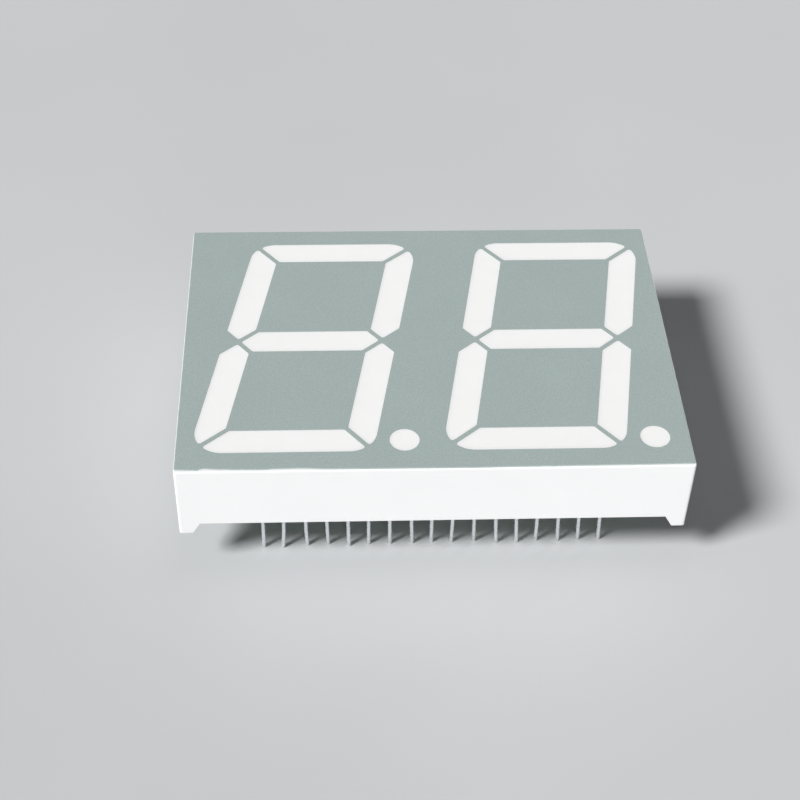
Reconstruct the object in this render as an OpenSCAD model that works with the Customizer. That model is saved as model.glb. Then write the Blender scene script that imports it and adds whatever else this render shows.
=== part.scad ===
// Two-digit seven segment display that stands on its pins.
// Sizes in millimetres. X runs along the two digits, Y towards their tops, Z out of the face.
// The origin is under the middle of the part, level with the pin tips.

/* [Housing] */
// Width of the housing, along the pair of digits
face_w = 60; // [52:0.5:80]
// Depth of the housing, along the height of a digit
face_d = 44; // [38:0.5:60]
// Height of the outer wall, from its lower edge to the face
wall_h = 8.7; // [7:0.1:14]
// Thickness of the outer wall
wall_t = 1.2; // [0.9:0.1:1.3]
// Thickness of the plate behind the face
plate_t = 1.4; // [0.8:0.1:2.5]
// Radius of the four upright edges
edge_r = 0.3; // [0.1:0.05:0.8]
// Bevel round the rim of the face
rim_bevel = 0.12; // [0.05:0.01:0.4]
// Thickness of the wall round each light well
well_wall = 0.8; // [0.5:0.05:1]
// How far a light well narrows on each side, from the face down to the board
well_taper = 0.7; // [0.1:0.05:1]

/* [Feet] */
// Height of the corner feet, below the outer wall
foot_h = 1.6; // [0.8:0.1:3]
// Length of a foot along the wall, where it stands
foot_l = 1.6; // [1.4:0.1:4]
// How much longer a foot is where it joins the wall
foot_flare = 0.9; // [0.1:0.1:2]

/* [Face coat] */
// Thickness of the grey coat
coat_t = 0.1; // [0.05:0.01:0.2]
// Bare strip between the coat and the bevel of the rim
coat_margin = 0.06; // [0.02:0.01:0.5]

/* [Digits] */
// Bare face above and below a digit
end_margin = 2.95; // [2.6:0.05:5]
// Bare face beside a digit, measured level at half its height
side_margin = 4.65; // [4.2:0.05:8]
// Level gap between the two digits
digit_gap = 7.95; // [7.5:0.05:9]
// How far the pair of digits lies to the right of the middle of the face
digit_shift = 0.2; // [-0.2:0.05:0.3]
// Width of the strokes
stroke = 3.55; // [3:0.05:4.5]
// Gap between neighbouring segments
segment_gap = 0.6; // [0.4:0.05:1]
// Radius of a digit's outer corners
corner_r = 3.3; // [2:0.1:4]
// Lean of the digits, in degrees
lean = 10; // [0:0.5:11]
// Diameter of a decimal point
point_d = 3.5; // [3:0.1:3.8]
// Level distance from a digit's side to the middle of its decimal point
point_gap = 3.35; // [3.1:0.05:3.6]

/* [Circuit board] */
// Thickness of the board
board_t = 1.6; // [0.8:0.1:2]
// How far the board's back lies above the lower edge of the wall
board_recess = 0.8; // [0.6:0.1:2]
// Gap between the board's edge and the wall, which the seal fills
board_gap = 0.2; // [0.1:0.05:0.4]
// Diameter of the plated holes
hole_d = 0.9; // [0.75:0.05:1.2]
// Width of the seal's bead on the board
bead_w = 0.7; // [0.5:0.05:0.8]
// Height of the seal's bead on the wall
bead_h = 0.5; // [0.2:0.05:0.6]

/* [Pins] */
// Pins in each row
pins_per_row = 17; // [9:1:18]
// Distance between neighbouring pins
pin_pitch = 2.54; // [2:0.01:2.6]
// Distance of a row from the long edge of the board
row_inset = 1.55; // [1.4:0.05:5]
// Diameter of a pin
pin_d = 0.5; // [0.4:0.01:0.55]
// Diameter of a pin's root, where it is pressed into the board
root_d = 0.6; // [0.58:0.01:0.7]
// Length of the pins below the feet
pin_reach = 6; // [3:0.1:10]
// Bevel at the tip of a pin
tip_bevel = 0.1; // [0.05:0.01:0.18]
// Diameter of the solder on the back of the board
solder_d = 1.5; // [1.3:0.05:1.6]
// Height of the solder along a pin
solder_h = 0.7; // [0.4:0.05:1]

/* [Light chips] */
// Side of a chip
chip_w = 0.4; // [0.2:0.05:0.6]
// Height of a chip
chip_h = 0.2; // [0.1:0.05:0.4]
// Distance between the two chips of a segment
chip_spread = 7; // [4:0.5:8]

/* [Hidden] */
$fn = 64;
// Steps along a rounded corner of a segment
arc_steps = 6;
// Overrun of a cutting shape past the face it cuts
overrun = 0.05;

// Levels, from the pin tips up to the face
foot_z = pin_reach;
wall_z = foot_z + foot_h;
board_z = wall_z + board_recess;
board_top = board_z + board_t;
face_z = wall_z + wall_h;
coat_top = face_z + coat_t;
well_h = face_z - board_top;

// Room inside the outer wall, and the board that fits there
room_w = face_w - 2 * wall_t;
room_d = face_d - 2 * wall_t;
board_w = room_w - 2 * board_gap;
board_d = room_d - 2 * board_gap;

// Distance between the two rows of pins
row_spacing = board_d - 2 * row_inset;

// Size of a digit and distance between the two, as the bare face round them leaves room
digit_h = face_d - 2 * end_margin;
digit_w = (face_w - digit_gap) / 2 - side_margin;
digit_pitch = digit_w + digit_gap;
half_h = digit_h / 2;
half_w = digit_w / 2;
point_x = half_w + point_gap;
upright_x = half_w - stroke / 2;
bar_y = half_h - stroke / 2;
upright_y = bar_y / 2;

DIGITS = ["left", "right"];
LETTERS = ["a", "b", "c", "d", "e", "f", "g"];
PINS = [for (i = [1:2 * pins_per_row]) i];

function segment_name(d, s) = str(DIGITS[d], "_segment_", LETTERS[s]);
function point_name(d) = str(DIGITS[d], "_decimal_point");
function chips_name(d) = str(DIGITS[d], "_light_chips");
function pin_name(i) = str("pin_", i < 10 ? "0" : "", i);

// Straight lines in the plane of the face, each one a point and a direction

function left_of(v) = [-v.y, v.x];
function unit(v) = v / norm(v);
function shifted(line, by) = [line[0] + by * left_of(line[1]), line[1]];
function meet(m, n) = m[0] + m[1] * cross(n[0] - m[0], n[1]) / cross(m[1], n[1]);

// The lines that bound a digit, about its own middle; side is -1 for left and 1 for right

function leaning(x, y) = [x + y * tan(lean), y];
function level_line(y) = [[0, y], [1, 0]];
function outer_line(side) = [leaning(side * half_w, 0), unit(leaning(0, 1))];
function inner_line(side) = [leaning(side * (half_w - stroke), 0), unit(leaning(0, 1))];
// The mitre between the top bar and an upright
function mitre(side) = [leaning(side * half_w, half_h), unit(leaning(side, 1))];
// The mitres that meet at the middle of an upright
function vee(side, run, rise) = [leaning(side * upright_x, 0), unit(leaning(run, rise))];

// The rounding at a digit's upper corners, and the angle at which a mitre runs into it

function arc_middle(side) = leaning(side * (half_w - corner_r / cos(lean)), half_h - corner_r);
function arc(side, from, to) = [
    for (i = [0:arc_steps])
        let (t = from + (to - from) * i / arc_steps)
        arc_middle(side) + corner_r * [cos(t), sin(t)]
];
function run_in(side, line) =
    let (across = left_of(line[1]))
    let (off = (line[0] - arc_middle(side)) * across)
    let (v = off * across + sqrt(corner_r ^ 2 - off ^ 2) * line[1])
    atan2(v.y, v.x);

// Segment outlines about the middle of a digit, turning left all the way round

function turned(points) = [for (p = points) -p];

function top_bar() =
    let (left_end = shifted(mitre(-1), -segment_gap / 2))
    let (right_end = shifted(mitre(1), segment_gap / 2))
    concat(
        [for (end = [left_end, right_end]) meet(end, level_line(half_h - stroke))],
        arc(1, run_in(1, right_end), 90),
        arc(-1, 90, run_in(-1, left_end))
    );

function upper_left() =
    let (upper_end = shifted(mitre(-1), segment_gap / 2))
    let (inner_end = shifted(vee(-1, 1, 1), segment_gap / 2))
    let (outer_end = shifted(vee(-1, -1, 1), -segment_gap / 2))
    concat(
        [meet(inner_end, outer_end)],
        [for (end = [inner_end, upper_end]) meet(end, inner_line(-1))],
        arc(-1, run_in(-1, upper_end), 180 - lean),
        [meet(outer_end, outer_line(-1))]
    );

function upper_right() =
    let (upper_end = shifted(mitre(1), -segment_gap / 2))
    let (inner_end = shifted(vee(1, -1, 1), -segment_gap / 2))
    let (outer_end = shifted(vee(1, 1, 1), segment_gap / 2))
    concat(
        [meet(inner_end, outer_end), meet(outer_end, outer_line(1))],
        arc(1, -lean, run_in(1, upper_end)),
        [for (end = [upper_end, inner_end]) meet(end, inner_line(1))]
    );

function middle_half() =
    let (upper_end = shifted(vee(-1, 1, 1), -segment_gap / 2))
    let (lower_end = shifted(vee(-1, 1, -1), segment_gap / 2))
    [
        meet(upper_end, level_line(stroke / 2)),
        meet(upper_end, lower_end),
        meet(lower_end, level_line(-stroke / 2))
    ];

// Outlines in the order of LETTERS; the lower half of a digit is its upper half turned half a turn
OUTLINES = [
    top_bar(),
    upper_right(),
    turned(upper_left()),
    turned(top_bar()),
    turned(upper_right()),
    upper_left(),
    concat(middle_half(), turned(middle_half()))
];

// Middle of each segment, in the same order, and the way its stroke runs
MIDDLES = [
    leaning(0, bar_y),
    leaning(upright_x, upright_y),
    leaning(upright_x, -upright_y),
    leaning(0, -bar_y),
    leaning(-upright_x, -upright_y),
    leaning(-upright_x, upright_y),
    leaning(0, 0)
];
RUNS = [for (s = [0:6]) MIDDLES[s].y == 0 || abs(MIDDLES[s].y) == bar_y ? [1, 0] : unit(leaning(0, 1))];

function digit_middle(d) = [(d - 0.5) * digit_pitch + digit_shift, 0];
function outline(d, s) = [for (p = OUTLINES[s]) p + digit_middle(d)];
function point_middle(d) = digit_middle(d) + leaning(point_x, point_d / 2 - half_h);
function chip_middles(d) = concat(
    [for (s = [0:6], k = [-0.5, 0.5]) digit_middle(d) + MIDDLES[s] + k * chip_spread * RUNS[s]],
    [point_middle(d)]
);

// Front row from left to right, then the rear row from right to left
function pin_place(i) =
    let (along = (pins_per_row - 1) / 2)
    i <= pins_per_row
        ? [(i - 1 - along) * pin_pitch, -row_spacing / 2]
        : [(2 * pins_per_row - i - along) * pin_pitch, row_spacing / 2];

// A convex outline moved inwards, edge by edge
function inset(points, by) =
    let (n = len(points))
    [
        for (i = [0:n - 1])
            let (before = left_of(unit(points[i] - points[(i + n - 1) % n])))
            let (after = left_of(unit(points[(i + 1) % n] - points[i])))
            points[i] + by * (before + after) / (1 + before * after)
    ];

function rectangle(w, d) = [[-w, -d] / 2, [w, -d] / 2, [w, d] / 2, [-w, d] / 2];

// A convex solid with the same section on every side of an outline.
// The section's X is the distance out from an edge, and its Y is the level.
module sided(points, section) {
    n = len(points);
    reach = face_w + face_d;
    intersection_for (i = [0:n - 1]) {
        p = points[i];
        q = points[(i + 1) % n];
        translate((p + q) / 2) rotate(atan2(p.x - q.x, q.y - p.y)) rotate([90, 0, 0])
            linear_extrude(2 * reach, center = true)
            polygon(concat(section, [[-reach, section[len(section) - 1].y], [-reach, section[0].y]]));
    }
}

module slab(w, d, r, z, h) {
    translate([0, 0, z]) linear_extrude(h) {
        square([w - 2 * r, d], center = true);
        square([w, d - 2 * r], center = true);
        for (x = [-1, 1], y = [-1, 1]) translate([x * (w / 2 - r), y * (d / 2 - r)]) circle(r);
    }
}

// How far the side of a light well lies out from its outline at the face, at a level
function well_offset(z) = well_taper * (z - face_z) / well_h;

// What a well holds: it narrows from the face down to the board, and is straight through the coat
module segment_fill(d, s) {
    sided(outline(d, s), [[0, coat_top], [0, face_z], [well_offset(board_top), board_top]]);
}

module point_fill(d) {
    translate(point_middle(d)) rotate_extrude() polygon([
        [0, board_top],
        [point_d / 2 + well_offset(board_top), board_top],
        [point_d / 2, face_z],
        [point_d / 2, coat_top],
        [0, coat_top]
    ]);
}

// All the light wells, run past the board and the face for a clean cut
module wells() {
    low = board_top - overrun;
    high = face_z + overrun;
    for (d = [0, 1]) {
        for (s = [0:6]) sided(outline(d, s), [[well_offset(high), high], [well_offset(low), low]]);
        translate([each point_middle(d), low])
            cylinder(h = high - low, r1 = point_d / 2 + well_offset(low), r2 = point_d / 2 + well_offset(high));
    }
}

// The windows over the wells, in the plane of the face
module windows() {
    for (d = [0, 1]) {
        for (s = [0:6]) polygon(outline(d, s));
        translate(point_middle(d)) circle(d = point_d);
    }
}

// The band of material that the wells of a digit are sunk in
module digit_band(d) {
    upper = concat(arc(1, -lean, 90), arc(-1, 90, 180 - lean));
    rim = inset(concat(upper, turned(upper)), -well_wall);
    loop = [
        for (corner = [[-1, 0], [1, 0], [1, 1], [-1, 1]])
            meet(inner_line(corner[0]), level_line(corner[1] == 0 ? stroke / 2 : half_h - stroke))
    ];
    translate(digit_middle(d)) difference() {
        polygon(rim);
        polygon(inset(loop, well_wall));
        polygon(inset(turned(loop), well_wall));
    }
}

module digit_block(d) {
    translate([0, 0, board_top]) linear_extrude(well_h - plate_t / 2) {
        digit_band(d);
        translate(point_middle(d)) circle(d = point_d + 2 * well_wall);
    }
}

// One leg of a corner foot, along X from the corner
module foot_leg() {
    rotate([90, 0, 0]) mirror([0, 0, 1]) linear_extrude(wall_t)
        polygon([[0, 0], [foot_l, 0], [foot_l + foot_flare, foot_h], [0, foot_h]]);
}

module feet() {
    for (x = [0, 1], y = [0, 1])
        mirror([x, 0, 0]) mirror([0, y, 0]) translate([-face_w / 2, -face_d / 2, foot_z]) {
            foot_leg();
            mirror([1, -1, 0]) foot_leg();
        }
}

module rim_cut() {
    side = rim_bevel * sqrt(2);
    for (y = [-1, 1]) translate([0, y * face_d / 2, face_z]) rotate([45, 0, 0])
        cube([face_w + 1, side, side], center = true);
    for (x = [-1, 1]) translate([x * face_w / 2, 0, face_z]) rotate([0, 45, 0])
        cube([side, face_d + 1, side], center = true);
}

module reflector_housing() {
    color("white") difference() {
        intersection() {
            slab(face_w, face_d, edge_r, foot_z, foot_h + wall_h);
            union() {
                difference() {
                    translate([-face_w / 2, -face_d / 2, wall_z]) cube([face_w, face_d, wall_h]);
                    translate([-room_w / 2, -room_d / 2, wall_z - overrun])
                        cube([room_w, room_d, wall_h - plate_t + overrun]);
                }
                feet();
                for (d = [0, 1]) digit_block(d);
            }
        }
        rim_cut();
        wells();
    }
}

module face_coat() {
    edge = 2 * (rim_bevel + coat_margin);
    color("#a0aaa7") difference() {
        slab(face_w - edge, face_d - edge, edge_r, face_z, coat_t);
        translate([0, 0, face_z - overrun]) linear_extrude(coat_t + 2 * overrun) windows();
    }
}

// Room for the chips at the foot of a cast segment
module chip_pockets(d) {
    for (p = chip_middles(d)) translate([p.x - chip_w / 2, p.y - chip_w / 2, board_top - overrun])
        cube([chip_w, chip_w, chip_h + overrun]);
}

module segment(d, s) {
    color("whitesmoke") difference() {
        segment_fill(d, s);
        chip_pockets(d);
    }
}

module decimal_point(d) {
    color("whitesmoke") difference() {
        point_fill(d);
        chip_pockets(d);
    }
}

module light_chips(d) {
    color("lightblue") for (p = chip_middles(d))
        translate([p.x - chip_w / 2, p.y - chip_w / 2, board_top]) cube([chip_w, chip_w, chip_h]);
}

module circuit_board() {
    color("darkgreen") difference() {
        translate([-board_w / 2, -board_d / 2, board_z]) cube([board_w, board_d, board_t]);
        for (i = PINS) translate([each pin_place(i), board_z - overrun])
            cylinder(h = board_t + 2 * overrun, d = hole_d);
    }
}

module edge_seal() {
    low = board_z - bead_h;
    past = overrun * bead_w / bead_h;
    color("ivory") difference() {
        translate([-room_w / 2, -room_d / 2, low]) cube([room_w, room_d, bead_h + board_t]);
        translate([-board_w / 2, -board_d / 2, board_z]) cube([board_w, board_d, board_t + overrun]);
        sided(rectangle(room_w, room_d), [[-bead_w, board_z], [past, low - overrun]]);
    }
}

module pin(i) {
    shoulder = board_z - solder_h;
    color("silver") translate(pin_place(i)) rotate_extrude() polygon([
        [0, 0],
        [pin_d / 2 - tip_bevel, 0],
        [pin_d / 2, tip_bevel],
        [pin_d / 2, shoulder],
        [root_d / 2, shoulder],
        [root_d / 2, board_top],
        [0, board_top]
    ]);
}

// Solder that fills the hole round a pin's root and draws out to a hollow fillet
module solder_joint() {
    reach = (solder_d - root_d) / 2;
    rotate_extrude() polygon(concat(
        [[root_d / 2, board_top], [hole_d / 2, board_top], [hole_d / 2, board_z]],
        [
            for (i = [0:arc_steps])
                let (t = 90 * i / arc_steps)
                [solder_d / 2 - reach * sin(t), board_z - solder_h * (1 - cos(t))]
        ]
    ));
}

module solder_row(row) {
    color("gainsboro") for (i = PINS)
        if ((i <= pins_per_row) == (row == "front")) translate(pin_place(i)) solder_joint();
}

reflector_housing();
face_coat();
for (d = [0, 1], s = [0:6]) segment(d, s);
for (d = [0, 1]) decimal_point(d);
circuit_board();
edge_seal();
for (i = PINS) pin(i);
solder_row("front");  // front_solder
solder_row("rear");  // rear_solder
for (d = [0, 1]) light_chips(d);
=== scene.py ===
# Looks of a two-digit seven segment display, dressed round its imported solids.
# Lengths are in metres, in the frame of the solids, unless a name ends in _mm.
import math
import random

import bmesh
import bpy
from mathutils import Matrix, Vector, noise
from mathutils.geometry import delaunay_2d_cdt


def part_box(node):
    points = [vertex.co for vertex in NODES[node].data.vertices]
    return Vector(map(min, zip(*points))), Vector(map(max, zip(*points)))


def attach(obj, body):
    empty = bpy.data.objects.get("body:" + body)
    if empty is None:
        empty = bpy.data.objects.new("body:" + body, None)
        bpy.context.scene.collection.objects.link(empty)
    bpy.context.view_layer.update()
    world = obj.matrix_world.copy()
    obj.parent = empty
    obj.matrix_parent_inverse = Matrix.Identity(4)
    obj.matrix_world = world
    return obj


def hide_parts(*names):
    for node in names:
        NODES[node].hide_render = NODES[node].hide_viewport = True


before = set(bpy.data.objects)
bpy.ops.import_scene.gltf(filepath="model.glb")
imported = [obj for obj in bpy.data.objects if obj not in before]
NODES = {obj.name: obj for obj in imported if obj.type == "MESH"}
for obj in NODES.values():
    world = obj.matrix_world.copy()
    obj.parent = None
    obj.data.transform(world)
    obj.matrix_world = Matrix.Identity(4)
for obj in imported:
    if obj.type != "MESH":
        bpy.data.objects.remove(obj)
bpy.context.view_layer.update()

MM = 0.001

DIGITS = ("left", "right")
SEGMENTS = [f"{digit}_segment_{letter}" for digit in DIGITS for letter in "abcdefg"]
POINTS = [f"{digit}_decimal_point" for digit in DIGITS]
CHIPS = [f"{digit}_light_chips" for digit in DIGITS]
SOLDER_ROWS = ("front_solder", "rear_solder")
PINS = sorted(name for name in NODES if name.startswith("pin_"))

# Levels and edges, read off the solids
HOUSING_LOW, HOUSING_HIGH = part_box("reflector_housing")
BOARD_LOW, BOARD_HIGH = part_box("circuit_board")
FACE_Z = HOUSING_HIGH.z
COAT_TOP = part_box("face_coat")[1].z
BOARD_BACK = BOARD_LOW.z
BOARD_TOP = BOARD_HIGH.z

# Points closer than this are one point, and in millimetres where a face is filled
WELD = 0.002 * MM
FILL_WELD_mm = 1e-7
# Step along a rounded corner
ARC_STEP = math.radians(20)

# Grey paint. Its edge rises by these shares of its thickness, at these distances from its outline
PAINT_SHOULDERS = ((0.0, 0.0), (0.03 * MM, 0.6), (0.09 * MM, 1.0))
PAINT_LIP = 0.05 * MM
PAINT_LIP_DROP = 0.012 * MM
PAINT_STEP = 0.3 * MM
PAINT_CORNER_R = 0.3 * MM
# Bevel of the housing's rim, which the paint runs over
RIM_BEVEL = 0.12 * MM
# Distance of the paint's front edge from the front wall, along the wall, both in millimetres
FRONT_EDGE_mm = (
    (-30.0, 0.36),
    (-27.3, 0.28),
    (-26.8, 0.5),
    (-24.5, 0.37),
    (-22.8, 0.29),
    (-20.0, 0.25),
    (-18.4, 0.36),
    (-15.2, 0.39),
    (-12.6, 0.23),
    (-6.0, 0.18),
    (4.0, 0.13),
    (9.0, 0.19),
    (24.0, 0.26),
    (30.0, 0.29),
)
LEFT_MARGIN = 0.05 * MM
RIGHT_MARGIN = 0.05 * MM
BACK_MARGIN = 0.06 * MM
EDGE_WAVE = 0.025 * MM
WAVE_SIZE = 1.3 * MM

# Cast segments: rounding of their tips, and how far their tops sink at each distance from the edge
TIP_R = 0.3 * MM
MENISCUS = (
    (0.06 * MM, 0.008 * MM),
    (0.16 * MM, 0.02 * MM),
    (0.34 * MM, 0.03 * MM),
    (0.62 * MM, 0.036 * MM),
)
# Sink over which the painted rim highlight fades into the resin's own tone
MENISCUS_FULL = 0.03 * MM
WELL_TAPER = 0.7 * MM
CAST_SHARP_ANGLE = 40

# Tinned wire pins. The tip has these shares of the radius at these heights
PIN_R = 0.25 * MM
ROOT_R = 0.3 * MM
PIN_SIDES = 20
PIN_RINGS = 26
PIN_SHARP_ANGLE = 50
SHOULDER_Z = BOARD_BACK - 0.7 * MM
TIP_PROFILE = ((0.0, 0.55), (0.025 * MM, 0.82), (0.07 * MM, 0.97), (0.14 * MM, 1.0))
CUT_SLOPE = 0.2
PIN_UNEVEN = 0.004 * MM
UNEVEN_SIZE = 0.6 * MM
PIN_SEED = 7
# How far the tips of the front pins, from left to right, lie from their straight place along X and Y
FRONT_TIPS_mm = (
    (-0.05, 0.0), (-0.25, -0.1), (0.15, 0.2), (0.15, 0.35), (0.15, 0.0), (0.0, 0.25),
    (0.05, 0.25), (0.25, 0.3), (0.05, 0.4), (-0.05, 0.35), (0.2, 0.45), (0.4, 0.15),
    (0.35, 0.15), (0.2, 0.4), (0.35, 0.35), (0.3, 0.45), (0.3, 0.45),
)
# Usual stray of the tips of the other pins, and how a bend grows towards the tip
TIP_STRAY = 0.1 * MM
BEND_POWER = 1.5
# Small kinks: their usual size, the shares of the shoulder's height that they lie between, and their reach
KINK_STRAY = 0.03 * MM
KINK_SPAN = (0.35, 0.7)
KINK_REACH = 0.16

# Copper on the back of the board
TRACK_T = 0.03 * MM
TRACK_W = 0.45 * MM
PAD_R = 0.95 * MM
PAD_BORE_R = 0.6 * MM
VIA_R = 0.5 * MM
VIA_BORE_R = 0.2 * MM
RING_T = 2 * TRACK_T
RING_SIDES = 32
STUB_RUNS = (4.0 * MM, 6.2 * MM, 8.4 * MM)
STUB_KNEE = 0.4
STUB_JOG = 1.27 * MM
BUS_LINES = 7
BUS_PITCH = 1.6 * MM
BUS_HALF = 24.0 * MM
BUS_STAGGER = 1.4 * MM

# Shading. Most values of a noise lie in this range
NOISE_RANGE = (0.3, 0.7)
BEVEL_SAMPLES = 6
SCATTER_RADII = (1.0, 0.97, 0.92)
WEAVE_SCALE = 0.35
WEAVE_DISTORTION = 0.6

# View of the photograph: angles in degrees, and focal length for a square frame
CAMERA_TURN = 3.229
CAMERA_DROP = 43.977
CAMERA_ROLL = -1.539
CAMERA_PLACE = Vector((-11.503, -147.878, 149.019)) * MM
CAMERA_LENS_mm = 72.16
CAMERA_CLIP = 0.01
SENSOR_mm = 36.0

# Soft studio light
WORLD_LIGHT = 0.045
BACKDROP = (0.66, 0.67, 0.685, 1.0)
FLOOR_SIZE = 4.0
# Lamps: the direction that each shines from, its width in degrees and its strength
KEY = {"from": (-0.83, -0.45, 1.0), "width": 16, "strength": 3.96}
FRONT = {"from": (0.13, -0.98, 0.07), "width": 15, "strength": 1.12}
REAR = {"from": (0.68, 0.72, 0.07), "width": 12, "strength": 1.6}


# Shader building blocks

def new_material(name):
    material = bpy.data.materials.new(name)
    material.use_nodes = True
    return material, material.node_tree, material.node_tree.nodes["Principled BSDF"]


def position_mm(tree, stretch=(1, 1, 1)):
    """The point on the object in millimetres, drawn out along the axes by stretch."""
    coordinates = tree.nodes.new("ShaderNodeTexCoord")
    mapping = tree.nodes.new("ShaderNodeMapping")
    mapping.inputs["Scale"].default_value = [1 / (s * MM) for s in stretch]
    tree.links.new(coordinates.outputs["Object"], mapping.inputs["Vector"])
    return mapping.outputs["Vector"]


def noise_field(tree, vector, size_mm, detail=2.0):
    """A noise with features of about that size."""
    node = tree.nodes.new("ShaderNodeTexNoise")
    node.inputs["Scale"].default_value = 1 / size_mm
    node.inputs["Detail"].default_value = detail
    tree.links.new(vector, node.inputs["Vector"])
    return node.outputs["Fac"]


def spread(tree, value, low=0.0, high=1.0):
    """A noise spread over the range from low to high."""
    node = tree.nodes.new("ShaderNodeMapRange")
    node.inputs["From Min"].default_value = NOISE_RANGE[0]
    node.inputs["From Max"].default_value = NOISE_RANGE[1]
    node.inputs["To Min"].default_value = low
    node.inputs["To Max"].default_value = high
    tree.links.new(value, node.inputs["Value"])
    return node.outputs["Result"]


def mixed(tree, factor, first, second):
    """A colour between two colours, each one a socket or three numbers."""
    node = tree.nodes.new("ShaderNodeMix")
    node.data_type = "RGBA"
    tree.links.new(factor, node.inputs[0])
    for socket, value in ((node.inputs[6], first), (node.inputs[7], second)):
        if isinstance(value, bpy.types.NodeSocket):
            tree.links.new(value, socket)
        else:
            socket.default_value = (*value, 1.0)
    return node.outputs[2]


def summed(tree, first, second, share):
    """first plus share times second."""
    node = tree.nodes.new("ShaderNodeMath")
    node.operation = "MULTIPLY_ADD"
    tree.links.new(second, node.inputs[0])
    node.inputs[1].default_value = share
    tree.links.new(first, node.inputs[2])
    return node.outputs[0]


def coloured(tree, bsdf, factor, first, second):
    """A base colour between two colours."""
    tree.links.new(mixed(tree, factor, first, second), bsdf.inputs["Base Color"])


def roughened(tree, bsdf, value, low, high):
    """A roughness from low to high, by a noise."""
    tree.links.new(spread(tree, value, low, high), bsdf.inputs["Roughness"])


def bumped(tree, bsdf, height, depth_mm, edge_mm=0.0):
    """Relief of the given depth, over edges that look rounded by edge_mm."""
    bump = tree.nodes.new("ShaderNodeBump")
    bump.inputs["Distance"].default_value = depth_mm * MM
    tree.links.new(height, bump.inputs["Height"])
    if edge_mm:
        bevel = tree.nodes.new("ShaderNodeBevel")
        bevel.samples = BEVEL_SAMPLES
        bevel.inputs["Radius"].default_value = edge_mm * MM
        tree.links.new(bevel.outputs["Normal"], bump.inputs["Normal"])
    tree.links.new(bump.outputs["Normal"], bsdf.inputs["Normal"])


def scatter(bsdf, weight, depth_mm):
    """Light that spreads below the surface of a milky material."""
    bsdf.inputs["Subsurface Weight"].default_value = weight
    bsdf.inputs["Subsurface Radius"].default_value = SCATTER_RADII
    bsdf.inputs["Subsurface Scale"].default_value = depth_mm * MM


# Materials

def white_plastic():
    material, tree, bsdf = new_material("white_plastic")
    at = position_mm(tree)
    cloud = noise_field(tree, at, size_mm=5.0, detail=3.0)
    grain = noise_field(tree, at, size_mm=0.22)
    coloured(tree, bsdf, spread(tree, cloud), (0.872, 0.872, 0.869), (0.886, 0.886, 0.884))
    roughened(tree, bsdf, summed(tree, grain, cloud, share=0.4), 0.38, 0.5)
    scatter(bsdf, weight=0.12, depth_mm=0.35)
    bumped(tree, bsdf, summed(tree, grain, cloud, share=3.0), depth_mm=0.006, edge_mm=0.06)
    return material


def grey_paint():
    material, tree, bsdf = new_material("grey_paint")
    at = position_mm(tree)
    cloud = noise_field(tree, at, size_mm=9.0, detail=3.0)
    peel = noise_field(tree, at, size_mm=0.28, detail=3.0)
    speck = noise_field(tree, at, size_mm=0.13, detail=1.0)
    body = mixed(tree, spread(tree, cloud), (0.374, 0.449, 0.433), (0.394, 0.473, 0.457))
    coloured(tree, bsdf, spread(tree, speck, high=0.8), body, (0.26, 0.31, 0.298))
    roughened(tree, bsdf, peel, 0.5, 0.66)
    bumped(tree, bsdf, summed(tree, peel, speck, share=0.5), depth_mm=0.008)
    return material


def rim_highlight_fade(tree):
    """From 0 at the rim of a cast top, where the resin is painted lighter as a highlight, to 1 where the
    top has sunk.
    """
    coordinates = tree.nodes.new("ShaderNodeTexCoord")
    parts = tree.nodes.new("ShaderNodeSeparateXYZ")
    tree.links.new(coordinates.outputs["Object"], parts.inputs["Vector"])
    node = tree.nodes.new("ShaderNodeMapRange")
    node.inputs["From Min"].default_value = COAT_TOP
    node.inputs["From Max"].default_value = COAT_TOP - MENISCUS_FULL
    tree.links.new(parts.outputs["Z"], node.inputs["Value"])
    return node.outputs["Result"]


def milky_resin():
    material, tree, bsdf = new_material("milky_resin")
    at = position_mm(tree)
    cloud = noise_field(tree, at, size_mm=2.4, detail=3.0)
    fine = noise_field(tree, at, size_mm=0.2)
    tone = spread(tree, summed(tree, cloud, fine, share=0.25))
    resin_tone = mixed(tree, tone, (0.890, 0.886, 0.880), (0.904, 0.901, 0.896))
    # Painted highlight: the rim of each cast top gets a lighter colour than the resin inside it, standing
    # in for light catching the edge of the dished top.
    coloured(tree, bsdf, rim_highlight_fade(tree), (0.93, 0.93, 0.926), resin_tone)
    roughened(tree, bsdf, cloud, 0.3, 0.4)
    scatter(bsdf, weight=0.3, depth_mm=0.7)
    bumped(tree, bsdf, summed(tree, cloud, fine, share=0.3), depth_mm=0.005)
    return material


def tinned_wire():
    material, tree, bsdf = new_material("tinned_wire")
    streaks = noise_field(tree, position_mm(tree, stretch=(1, 1, 12)), size_mm=0.1, detail=3.0)
    patches = noise_field(tree, position_mm(tree), size_mm=0.7)
    coloured(tree, bsdf, spread(tree, patches), (0.86, 0.87, 0.885), (0.92, 0.925, 0.935))
    bsdf.inputs["Metallic"].default_value = 1.0
    roughened(tree, bsdf, summed(tree, patches, streaks, share=0.5), 0.14, 0.28)
    bumped(tree, bsdf, summed(tree, streaks, patches, share=1.5), depth_mm=0.004)
    return material


def bright_solder():
    material, tree, bsdf = new_material("bright_solder")
    at = position_mm(tree)
    ripple = noise_field(tree, at, size_mm=0.3)
    frost = noise_field(tree, at, size_mm=0.08)
    coloured(tree, bsdf, spread(tree, ripple), (0.66, 0.66, 0.655), (0.78, 0.78, 0.775))
    bsdf.inputs["Metallic"].default_value = 1.0
    roughened(tree, bsdf, frost, 0.22, 0.42)
    bumped(tree, bsdf, summed(tree, ripple, frost, share=0.3), depth_mm=0.03)
    return material


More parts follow.
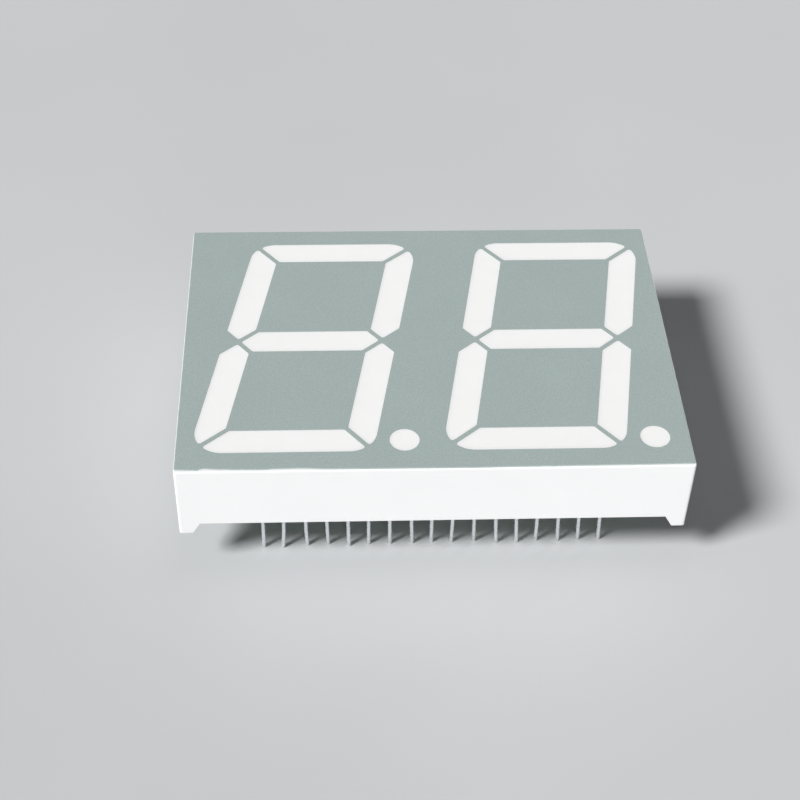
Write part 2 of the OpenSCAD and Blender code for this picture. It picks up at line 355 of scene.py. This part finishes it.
def woven_height(tree):
    """The weave of the glass cloth, which shows faintly through the resist."""
    waves = []
    for direction in ("X", "Y"):
        node = tree.nodes.new("ShaderNodeTexWave")
        node.bands_direction = direction
        node.inputs["Scale"].default_value = WEAVE_SCALE
        node.inputs["Distortion"].default_value = WEAVE_DISTORTION
        tree.links.new(position_mm(tree), node.inputs["Vector"])
        waves.append(node.outputs["Fac"])
    return summed(tree, waves[0], waves[1], share=1.0)


def green_resist(name, dark, light):
    material, tree, bsdf = new_material(name)
    cloud = noise_field(tree, position_mm(tree), size_mm=3.0, detail=3.0)
    weave = woven_height(tree)
    tone = mixed(tree, spread(tree, cloud), dark, light)
    coloured(tree, bsdf, spread(tree, weave, high=0.1), tone, light)
    roughened(tree, bsdf, cloud, 0.24, 0.36)
    bumped(tree, bsdf, summed(tree, weave, cloud, share=1.0), depth_mm=0.006)
    return material


def seal_resin():
    material, tree, bsdf = new_material("seal_resin")
    at = position_mm(tree)
    flow = noise_field(tree, at, size_mm=2.0)
    fine = noise_field(tree, at, size_mm=0.4)
    coloured(tree, bsdf, spread(tree, flow), (0.72, 0.71, 0.64), (0.80, 0.79, 0.735))
    roughened(tree, bsdf, fine, 0.22, 0.34)
    scatter(bsdf, weight=0.3, depth_mm=0.6)
    bumped(tree, bsdf, flow, depth_mm=0.012)
    return material


def chip_crystal():
    material, tree, bsdf = new_material("chip_crystal")
    facets = noise_field(tree, position_mm(tree), size_mm=0.12)
    coloured(tree, bsdf, spread(tree, facets), (0.60, 0.68, 0.76), (0.74, 0.80, 0.86))
    roughened(tree, bsdf, facets, 0.08, 0.2)
    return material


def pale_floor():
    material, tree, bsdf = new_material("pale_floor")
    cloud = noise_field(tree, position_mm(tree), size_mm=60.0)
    coloured(tree, bsdf, spread(tree, cloud), (0.54, 0.55, 0.565), (0.56, 0.57, 0.585))
    bsdf.inputs["Roughness"].default_value = 0.75
    return material


# Outlines

def way(angle):
    """One unit in the direction of an angle."""
    return Vector((math.cos(angle), math.sin(angle)))


def left_of(v):
    return Vector((-v.y, v.x))


def perimeter(points):
    return sum((b - a).length for a, b in zip(points, points[1:] + points[:1]))


def raised(points, z):
    return [Vector((p.x, p.y, z)) for p in points]


def inset(points, by):
    """A closed outline that turns left, moved inwards edge by edge."""
    moved = []
    for before, here, after in zip(points[-1:] + points[:-1], points, points[1:] + points[:1]):
        a = left_of((here - before).normalized())
        b = left_of((after - here).normalized())
        moved.append(here + (a + b) * (by / (1 + a.dot(b))))
    return moved


def shrunk(points, by):
    """A convex outline that turns left, cut back by a distance from each edge."""
    kept = points
    for a, b in zip(points, points[1:] + points[:1]):
        inward = left_of((b - a).normalized())
        depths = [(p - a).dot(inward) - by for p in kept]
        cut = []
        for p, d, q, e in zip(kept, depths, kept[1:] + kept[:1], depths[1:] + depths[:1]):
            if d >= 0:
                cut.append(p)
            if d * e < 0:
                cut.append(p.lerp(q, d / (d - e)))
        kept = cut
    return [p for p, q in zip(kept, kept[1:] + kept[:1]) if (p - q).length > WELD]


def rounded(points, radius):
    """A convex outline that turns left, with its corners rounded."""
    core = shrunk(points, radius)
    arcs = []
    for before, here, after in zip(core[-1:] + core[:-1], core, core[1:] + core[:1]):
        start = -left_of((here - before).normalized())
        turn = (here - before).angle(after - here)
        steps = max(1, math.ceil(turn / ARC_STEP))
        first = math.atan2(start.y, start.x)
        arcs += [here + way(first + turn * k / steps) * radius for k in range(steps + 1)]
    return arcs


def top_outlines(name):
    """Outlines of the flat top of a solid, the longest first. The outer one turns left."""
    mesh = bmesh.new()
    mesh.from_mesh(NODES[name].data)
    bmesh.ops.remove_doubles(mesh, verts=mesh.verts, dist=WELD)
    top = max(v.co.z for v in mesh.verts)
    faces = {f for f in mesh.faces if min(v.co.z for v in f.verts) > top - WELD}
    onward = {}
    for face in faces:
        for loop in face.loops:
            if sum(f in faces for f in loop.edge.link_faces) == 1:
                onward[loop.vert] = loop.link_loop_next.vert
    outlines = []
    while onward:
        start = next(iter(onward))
        outline = [start]
        while onward[outline[-1]] != start:
            outline.append(onward[outline[-1]])
        for vert in outline:
            del onward[vert]
        outlines.append([vert.co.to_2d() for vert in outline])
    mesh.free()
    return sorted(outlines, key=perimeter, reverse=True)


# Meshes

def add_object(name, mesh, material):
    data = bpy.data.meshes.new(name)
    mesh.normal_update()
    mesh.to_mesh(data)
    mesh.free()
    data.materials.append(material)
    piece = bpy.data.objects.new(name, data)
    bpy.context.scene.collection.objects.link(piece)
    return piece


def add_piece(name, mesh, material, replaced=()):
    """A new piece of the display, attached to the root, with the solids that it replaces hidden."""
    piece = add_object(name, mesh, material)
    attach(piece, "root")
    if replaced:
        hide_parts(*replaced)
    return piece


def smooth(piece, angle):
    """Smooth shading, with edges sharper than angle degrees kept."""
    for face in piece.data.polygons:
        face.use_smooth = True
    piece.data.set_sharp_from_angle(angle=math.radians(angle))


def paint_node(name, material):
    data = NODES[name].data
    data.materials.clear()
    data.materials.append(material)


def band(mesh, lower, upper):
    """Faces between two rings of equally many points."""
    count = len(lower)
    for i in range(count):
        j = (i + 1) % count
        mesh.faces.new((lower[i], lower[j], upper[j], upper[i]))


def add_rings(mesh, rings):
    """Rings of points with faces between them, from the lowest up."""
    loops = [[mesh.verts.new(p) for p in ring] for ring in rings]
    for lower, upper in zip(loops, loops[1:]):
        band(mesh, lower, upper)
    return loops


def lofted(rings):
    """A closed mesh through rings that turn left, from the lowest up."""
    mesh = bmesh.new()
    loops = add_rings(mesh, rings)
    mesh.faces.new(loops[0][::-1])
    mesh.faces.new(loops[-1])
    return mesh


def fill(mesh, loops, upward, open_inside=True):
    """Triangles inside the first loop of vertices, where the loops inside it are windows or only levels."""
    verts = [vert for loop in loops for vert in loop]
    starts = [sum(len(loop) for loop in loops[:k]) for k in range(len(loops))]
    faces = [list(range(start, start + len(loop))) for start, loop in zip(starts, loops)]
    flat = [(vert.co / MM).to_2d() for vert in verts]
    _, _, triangles, origins, _, owners = delaunay_2d_cdt(flat, [], faces, 0, FILL_WELD_mm)
    for triangle, owner in zip(triangles, owners):
        if owner == [0] or (owner and not open_inside):
            corners = [verts[origins[k][0]] for k in triangle]
            mesh.faces.new(corners if upward else corners[::-1])


# The grey coat of paint, with the uneven edge that a roller leaves

def front_margin(x):
    """Distance of the paint from the front wall, eased between the listed places."""
    x_mm = x / MM
    for (x0, m0), (x1, m1) in zip(FRONT_EDGE_mm, FRONT_EDGE_mm[1:]):
        if x_mm <= x1:
            t = min(max((x_mm - x0) / (x1 - x0), 0), 1)
            return (m0 + (m1 - m0) * t * t * (3 - 2 * t)) * MM
    return FRONT_EDGE_mm[-1][1] * MM


def wave(x, y):
    return EDGE_WAVE * noise.noise(Vector((x, y, 0)) / WAVE_SIZE)


def paint_corner(middle, first):
    """A quarter of a circle round a middle, from the first angle, turning left."""
    quarter = math.pi / 2
    steps = math.ceil(quarter / ARC_STEP)
    return [middle + way(first + quarter * k / steps) * PAINT_CORNER_R for k in range(steps + 1)]


def between(low, high):
    """Places a step apart from low to high, without the two ends."""
    count = round((high - low) / PAINT_STEP)
    return [low + (high - low) * i / count for i in range(1, count)]


def paint_edge():
    """Outline of the paint, turning left from the front left corner."""
    left, right = HOUSING_LOW.x + LEFT_MARGIN, HOUSING_HIGH.x - RIGHT_MARGIN
    front, back = HOUSING_LOW.y, HOUSING_HIGH.y - BACK_MARGIN
    left_in, right_in, back_in = left + PAINT_CORNER_R, right - PAINT_CORNER_R, back - PAINT_CORNER_R
    front_left, front_right = (
        Vector((x, front + front_margin(x) + PAINT_CORNER_R)) for x in (left_in, right_in)
    )
    xs = between(left_in, right_in)
    return [
        *paint_corner(front_left, math.pi),
        *(Vector((x, front + front_margin(x) + wave(x, front))) for x in xs),
        *paint_corner(front_right, 1.5 * math.pi),
        *(Vector((right + wave(right, y), y)) for y in between(front_right.y, back_in)),
        *paint_corner(Vector((right_in, back_in)), 0.0),
        *(Vector((x, back + wave(x, back))) for x in reversed(xs)),
        *paint_corner(Vector((left_in, back_in)), 0.5 * math.pi),
        *(Vector((left + wave(left, y), y)) for y in reversed(between(front_left.y, back_in))),
    ]


def face_level(point):
    """Level of the housing under the paint, which falls away over the bevel of the rim."""
    to_edge = min(HOUSING_HIGH.x - abs(point.x), HOUSING_HIGH.y - abs(point.y))
    return FACE_Z - max(0.0, RIM_BEVEL - to_edge)


def add_coat(material):
    mesh = bmesh.new()
    thickness = COAT_TOP - FACE_Z
    edge = paint_edge()
    outer_rings = []
    for by, rise in PAINT_SHOULDERS:
        ring = inset(edge, by) if by else edge
        outer_rings.append([Vector((p.x, p.y, face_level(p) + rise * thickness)) for p in ring])
    outer = add_rings(mesh, outer_rings)
    windows = []
    for outline in top_outlines("face_coat")[1:]:
        outline = rounded(outline[::-1], TIP_R)[::-1]
        rings = [
            raised(inset(outline, PAINT_LIP), COAT_TOP),
            raised(outline, COAT_TOP - PAINT_LIP_DROP),
            raised(outline, FACE_Z),
        ]
        windows.append(add_rings(mesh, [ring[::-1] for ring in rings]))
    fill(mesh, [outer[-1]] + [loops[0] for loops in windows], upward=True)
    fill(mesh, [outer[0]] + [loops[-1] for loops in windows], upward=False)
    bmesh.ops.recalc_face_normals(mesh, faces=mesh.faces)
    add_piece("paint_coat", mesh, material, ("face_coat",))


# Cast segments and decimal points, whose tops sink a little as the resin sets

def add_cast(name, material):
    outline = rounded(top_outlines(name)[0], TIP_R)
    mesh = bmesh.new()
    foot = [mesh.verts.new(p) for p in raised(shrunk(outline, WELL_TAPER), BOARD_TOP)]
    lower, upper = add_rings(mesh, [raised(outline, FACE_Z), raised(outline, COAT_TOP)])
    levels = []
    for by, sink in MENISCUS:
        levels.append([mesh.verts.new(p) for p in raised(shrunk(outline, by), COAT_TOP - sink)])
    mesh.faces.new(foot[::-1])
    fill(mesh, [lower, foot], upward=False)
    fill(mesh, [upper] + levels, upward=True, open_inside=False)
    piece = add_piece(f"cast_{name}", mesh, material, (name,))
    smooth(piece, CAST_SHARP_ANGLE)


# Tinned wire pins, a little bent and unevenly coated

def pin_middle(name):
    low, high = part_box(name)
    return low.lerp(high, 0.5).to_2d()


def pin_levels():
    """Heights of a pin's rings up to its shoulder, each with its radius."""
    levels = [(z, share * PIN_R) for z, share in TIP_PROFILE]
    first = levels[-1][0]
    for i in range(1, PIN_RINGS + 1):
        levels.append((first + (SHOULDER_Z - first) * i / PIN_RINGS, PIN_R))
    return levels


def pin_rings(place, bend, rng):
    """Rings of a pin from its tip up: cut off at a slant, bent towards the tip and slightly kinked."""
    kink = Vector((rng.gauss(0, 1), rng.gauss(0, 1))) * KINK_STRAY
    kink_z = rng.uniform(*KINK_SPAN) * SHOULDER_Z
    cut = Vector((rng.uniform(-1, 1), rng.uniform(-1, 1))) * CUT_SLOPE
    turn = rng.uniform(0, math.tau)
    ways = [way(turn + math.tau * k / PIN_SIDES) for k in range(PIN_SIDES)]
    rings = []
    for z, r in pin_levels():
        free = 1 - z / SHOULDER_Z
        near_kink = math.exp(-((z - kink_z) / (KINK_REACH * SHOULDER_Z)) ** 2)
        near_tip = max(0, 1 - z / TIP_PROFILE[-1][0])
        middle = place + bend * free ** BEND_POWER + kink * near_kink * free
        ring = []
        for out in ways:
            spot = Vector((*(place + out * r), z)) / UNEVEN_SIZE
            uneven = PIN_UNEVEN * noise.noise(spot) if z > 0 else 0
            lift = max(0, out.dot(cut)) * r * near_tip
            ring.append(Vector((*(middle + out * (r + uneven)), z + lift)))
        rings.append(ring)
    root = [place + out * ROOT_R for out in ways]
    return rings + [raised(root, SHOULDER_Z), raised(root, BOARD_TOP)]


def add_pin(name, material, bend, rng):
    mesh = lofted(pin_rings(pin_middle(name), bend, rng))
    piece = add_piece(f"tinned_{name}", mesh, material, (name,))
    smooth(piece, PIN_SHARP_ANGLE)


def add_pins(material):
    rng = random.Random(PIN_SEED)
    front = sorted((name for name in PINS if pin_middle(name).y < 0), key=lambda name: pin_middle(name).x)
    for name, tip in zip(front, FRONT_TIPS_mm):
        add_pin(name, material, Vector(tip) * MM, rng)
    for name in PINS:
        if name not in front:
            stray = Vector((rng.gauss(0, 1), rng.gauss(0, 1))) * TIP_STRAY
            add_pin(name, material, stray, rng)


# Copper on the back of the board: tracks under the resist, bare rings round pins and vias

def ribbon(mesh, path):
    """A flat strip along a path on the back of the board."""
    half = TRACK_W / 2
    low, high = BOARD_BACK - TRACK_T, BOARD_BACK
    last = len(path) - 1
    sections = []
    for i, here in enumerate(path):
        side = left_of((path[min(i + 1, last)] - path[max(i - 1, 0)]).normalized())
        if 0 < i < last:
            step = left_of((path[i + 1] - here).normalized())
            side = side / side.dot(step)
        a, b = here + side * half, here - side * half
        corners = ((a.x, a.y, high), (b.x, b.y, high), (b.x, b.y, low), (a.x, a.y, low))
        sections.append([mesh.verts.new(c) for c in corners])
    for first, second in zip(sections, sections[1:]):
        band(mesh, first, second)
    mesh.faces.new(sections[0][::-1])
    mesh.faces.new(sections[-1])


def ring_points(middle, r, z, squared=False):
    """Points round a middle, on a circle or on the square about it."""
    points = []
    for k in range(RING_SIDES):
        out = way(math.tau * (k + 0.5) / RING_SIDES)
        reach = r / max(abs(out.x), abs(out.y)) if squared else r
        points.append(middle + out * reach)
    return raised(points, z)


def copper_ring(mesh, middle, outer_r, bore_r, squared=False):
    """A bare ring of copper, round or square, with a round bore."""
    low, high = BOARD_BACK - RING_T, BOARD_BACK
    loops = add_rings(mesh, [
        ring_points(middle, bore_r, high),
        ring_points(middle, bore_r, low),
        ring_points(middle, outer_r, low, squared),
        ring_points(middle, outer_r, high, squared),
    ])
    band(mesh, loops[-1], loops[0])


def stub_path(middle, index):
    """A track from a pin to its via: inwards, across by half a pitch, and inwards again."""
    inward = Vector((0, -math.copysign(1, middle.y)))
    run = STUB_RUNS[index % len(STUB_RUNS)]
    across = Vector((STUB_JOG * math.copysign(1, middle.y), 0))
    knee = middle + inward * (run * STUB_KNEE)
    return [middle, knee, knee + inward * STUB_JOG + across, middle + inward * (run + STUB_JOG) + across]


def bus_path(k):
    """One of the long tracks along the middle of the board."""
    from_middle = k - (BUS_LINES - 1) / 2
    y = from_middle * BUS_PITCH
    half = BUS_HALF - abs(from_middle) * BUS_STAGGER
    bend = BUS_PITCH / 2
    places = ((-half, y - bend), (-bend / 2, y - bend), (bend / 2, y), (half, y))
    return [Vector(place) for place in places]


def add_copper(track_material, ring_material):
    tracks, rings = bmesh.new(), bmesh.new()
    stubs = [stub_path(pin_middle(name), i) for i, name in enumerate(PINS)]
    for i, path in enumerate(stubs):
        copper_ring(rings, path[0], PAD_R, PAD_BORE_R, squared=i == 0)
        copper_ring(rings, path[-1], VIA_R, VIA_BORE_R)
    buses = [bus_path(k) for k in range(BUS_LINES)]
    for path in buses:
        for end in (path[0], path[-1]):
            copper_ring(rings, end, VIA_R, VIA_BORE_R)
    for path in stubs + buses:
        ribbon(tracks, path)
    for mesh in (tracks, rings):
        bmesh.ops.recalc_face_normals(mesh, faces=mesh.faces)
    add_piece("board_tracks", tracks, track_material)
    add_piece("board_rings", rings, ring_material)


# Stage, light and camera

def add_floor():
    mesh = bmesh.new()
    half = FLOOR_SIZE / 2
    corners = ((-half, -half, 0), (half, -half, 0), (half, half, 0), (-half, half, 0))
    mesh.faces.new([mesh.verts.new(c) for c in corners])
    add_object("floor", mesh, pale_floor())


def add_world():
    """A soft light all round, which the camera, metal and clear pieces see as the backdrop."""
    world = bpy.data.worlds.new("studio")
    bpy.context.scene.world = world
    world.use_nodes = True
    tree = world.node_tree
    soft = tree.nodes["Background"]
    soft.inputs["Color"].default_value = (1.0, 1.0, 1.0, 1.0)
    soft.inputs["Strength"].default_value = WORLD_LIGHT
    seen = tree.nodes.new("ShaderNodeBackground")
    seen.inputs["Color"].default_value = BACKDROP
    rays = tree.nodes.new("ShaderNodeLightPath")
    shown = rays.outputs["Is Camera Ray"]
    for name in ("Is Glossy Ray", "Is Transmission Ray"):
        either = tree.nodes.new("ShaderNodeMath")
        either.operation = "MAXIMUM"
        tree.links.new(shown, either.inputs[0])
        tree.links.new(rays.outputs[name], either.inputs[1])
        shown = either.outputs[0]
    blend = tree.nodes.new("ShaderNodeMixShader")
    tree.links.new(shown, blend.inputs[0])
    tree.links.new(soft.outputs[0], blend.inputs[1])
    tree.links.new(seen.outputs[0], blend.inputs[2])
    tree.links.new(blend.outputs[0], tree.nodes["World Output"].inputs["Surface"])


def add_lamp(name, lamp):
    data = bpy.data.lights.new(name, "SUN")
    data.angle = math.radians(lamp["width"])
    data.energy = lamp["strength"]
    light = bpy.data.objects.new(name, data)
    light.rotation_euler = (-Vector(lamp["from"])).to_track_quat("-Z", "Y").to_euler()
    bpy.context.scene.collection.objects.link(light)


def add_camera():
    turn, drop, roll = (math.radians(a) for a in (CAMERA_TURN, CAMERA_DROP, CAMERA_ROLL))
    forward = Vector((math.sin(turn) * math.cos(drop), math.cos(turn) * math.cos(drop), -math.sin(drop)))
    level = Vector((math.cos(turn), -math.sin(turn), 0))
    below = forward.cross(level)
    right = level * math.cos(roll) + below * math.sin(roll)
    down = below * math.cos(roll) - level * math.sin(roll)
    data = bpy.data.cameras.new("camera")
    data.lens = CAMERA_LENS_mm
    data.sensor_width = SENSOR_mm
    data.clip_start = CAMERA_CLIP
    camera = bpy.data.objects.new("camera", data)
    facing = Matrix((right, -down, -forward)).transposed().to_4x4()
    camera.matrix_world = Matrix.Translation(CAMERA_PLACE) @ facing
    bpy.context.scene.collection.objects.link(camera)
    bpy.context.scene.camera = camera


def dress_solids(solder):
    """Materials for the solids that are shown as they are."""
    paint_node("reflector_housing", white_plastic())
    paint_node("circuit_board", green_resist("green_resist", (0.012, 0.105, 0.045), (0.02, 0.14, 0.06)))
    paint_node("edge_seal", seal_resin())
    crystal = chip_crystal()
    for name in CHIPS:
        paint_node(name, crystal)
    for name in SOLDER_ROWS:
        paint_node(name, solder)


def add_pieces(solder):
    """Pieces that are finer than the solids, and the copper, which has none."""
    add_coat(grey_paint())
    resin = milky_resin()
    for name in SEGMENTS + POINTS:
        add_cast(name, resin)
    add_pins(tinned_wire())
    add_copper(green_resist("raised_resist", (0.02, 0.17, 0.07), (0.03, 0.21, 0.09)), solder)


bpy.context.scene.view_settings.view_transform = "Standard"
joint_metal = bright_solder()
dress_solids(joint_metal)
add_pieces(joint_metal)
add_floor()
add_world()
add_lamp("key", KEY)
add_lamp("front", FRONT)
add_lamp("rear", REAR)
add_camera()
